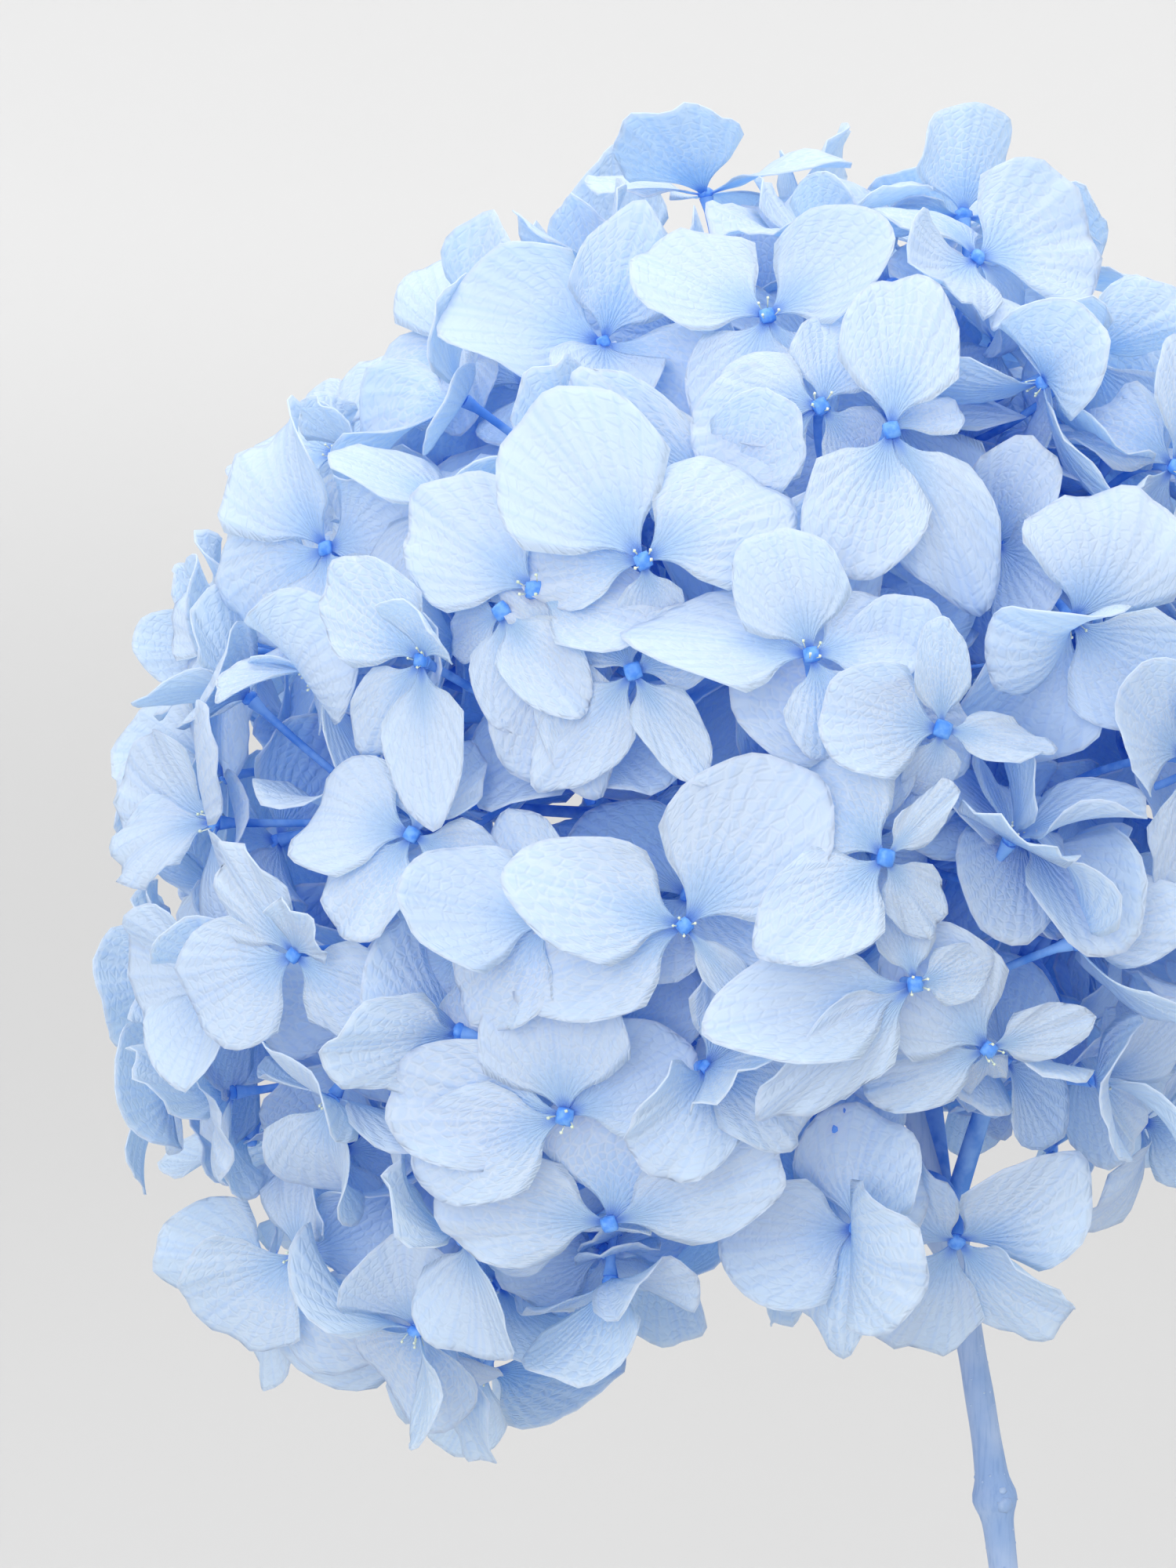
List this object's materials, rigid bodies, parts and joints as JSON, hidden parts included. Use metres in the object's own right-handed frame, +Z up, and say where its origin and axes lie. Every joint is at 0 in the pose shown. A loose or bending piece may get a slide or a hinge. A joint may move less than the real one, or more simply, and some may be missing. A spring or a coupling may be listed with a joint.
{
  "type": "preserved hydrangea stem",
  "caption": "Cut mophead hydrangea, preserved: a woody stem that leans into branching twigs, covered by four-sepalled pale blue florets.",
  "frame": {"origin": "centre of the flat cut end of the stem", "axes": "+Z up along the stem's lower part, -Y towards the front of the flower head, +X away from the side that the head leans to"},
  "size_m": [0.1794, 0.1832, 0.3801],
  "materials": {
    "sepal": "matt, soft and slightly translucent dyed petal tissue with fine darker veins",
    "branch": "matt dyed flower stalk, fibrous and slightly ridged",
    "stem": "matt dyed woody stem, with leaf scars"
  },
  "bodies": {
    "root": {"branch_back_high": "branch", "branch_back_low": "branch", "branch_back_right": "branch", "branch_front": "branch", "branch_front_high": "branch", "branch_left": "branch", "branch_right": "branch", "branch_top": "branch", "floret_01": "sepal", "floret_02": "sepal", "floret_03": "sepal", "floret_04": "sepal", "floret_05": "sepal", "floret_06": "sepal", "floret_07": "sepal", "floret_08": "sepal", "floret_09": "sepal", "floret_10": "sepal", "floret_11": "sepal", "floret_12": "sepal", "floret_13": "sepal", "floret_14": "sepal", "floret_15": "sepal", "floret_16": "sepal", "floret_17": "sepal", "floret_18": "sepal", "floret_19": "sepal", "floret_20": "sepal", "floret_21": "sepal", "floret_22": "sepal", "floret_23": "sepal", "floret_24": "sepal", "floret_25": "sepal", "floret_26": "sepal", "floret_27": "sepal", "floret_28": "sepal", "floret_29": "sepal", "floret_30": "sepal", "floret_31": "sepal", "floret_32": "sepal", "floret_33": "sepal", "floret_34": "sepal", "floret_35": "sepal", "floret_36": "sepal", "floret_37": "sepal", "floret_38": "sepal", "floret_39": "sepal", "floret_40": "sepal", "floret_41": "sepal", "floret_42": "sepal", "floret_43": "sepal", "floret_44": "sepal", "floret_45": "sepal", "floret_46": "sepal", "floret_47": "sepal", "floret_48": "sepal", "floret_49": "sepal", "floret_50": "sepal", "main_stem": "stem"}
  },
  "joints": []
}
